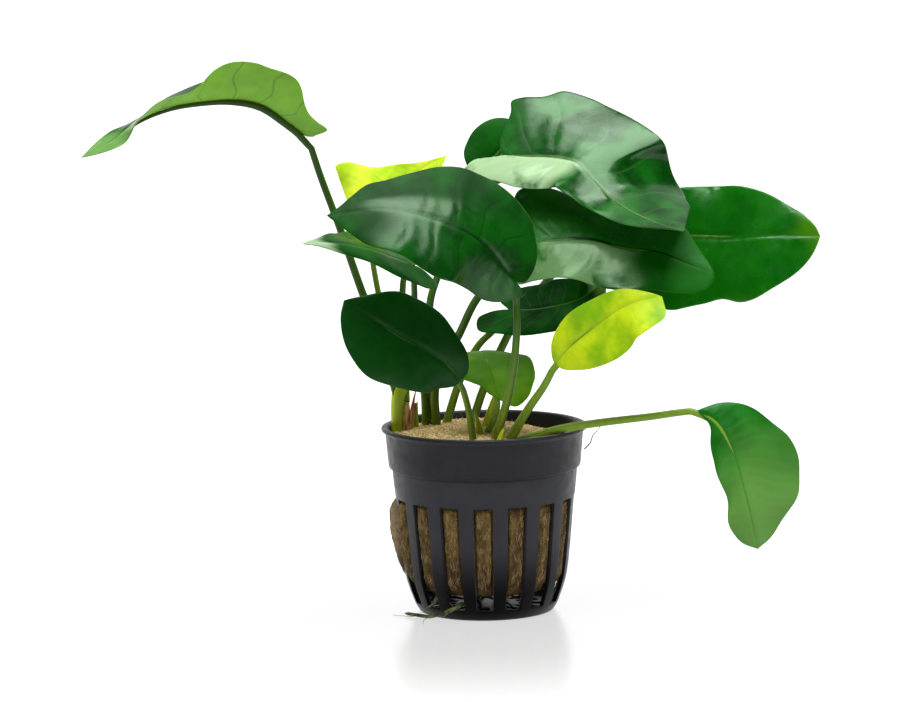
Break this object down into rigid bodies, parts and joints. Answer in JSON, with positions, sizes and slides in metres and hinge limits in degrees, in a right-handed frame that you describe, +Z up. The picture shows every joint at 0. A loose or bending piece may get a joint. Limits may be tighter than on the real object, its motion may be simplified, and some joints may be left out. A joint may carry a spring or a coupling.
{
  "type": "anubias plant in net pot",
  "caption": "Broad-leaved anubias, an aquarium plant with long petioles, rooted in rock wool in a round slotted black net pot.",
  "frame": {"origin": "centre of the pot's flat base, on the surface that the pot stands on", "axes": "+Z up along the pot's axis, +X to the right and -Y to the front as seen in the picture"},
  "size_m": [0.195, 0.0724, 0.1487],
  "materials": {
    "pot_plastic": "satin",
    "rock_wool": "matte",
    "leaf_dark": "satin",
    "leaf_pale": "satin",
    "petiole": "satin",
    "root": "matte"
  },
  "bodies": {
    "root": {"net_pot": "pot_plastic", "rock_wool": "rock_wool", "crown": "leaf_pale", "leaf_a": "leaf_dark", "petiole_a": "petiole", "leaf_b": "leaf_pale", "petiole_b": "petiole", "leaf_c": "leaf_dark", "petiole_c": "petiole", "leaf_d": "leaf_dark", "petiole_d": "petiole", "leaf_e": "leaf_dark", "petiole_e": "petiole", "leaf_f": "leaf_dark", "petiole_f": "petiole", "leaf_g": "leaf_pale", "petiole_g": "petiole", "leaf_h": "leaf_dark", "petiole_h": "petiole", "leaf_i": "leaf_dark", "petiole_i": "petiole", "leaf_j": "leaf_pale", "petiole_j": "petiole", "leaf_k": "leaf_dark", "petiole_k": "petiole", "leaf_l": "leaf_dark", "petiole_l": "petiole", "leaf_m": "leaf_dark", "petiole_m": "petiole", "shoot_left": "leaf_pale", "shoot_middle": "leaf_pale", "shoot_right": "leaf_pale", "short_stem": "leaf_pale", "root_long": "root", "root_short": "root"}
  },
  "joints": []
}
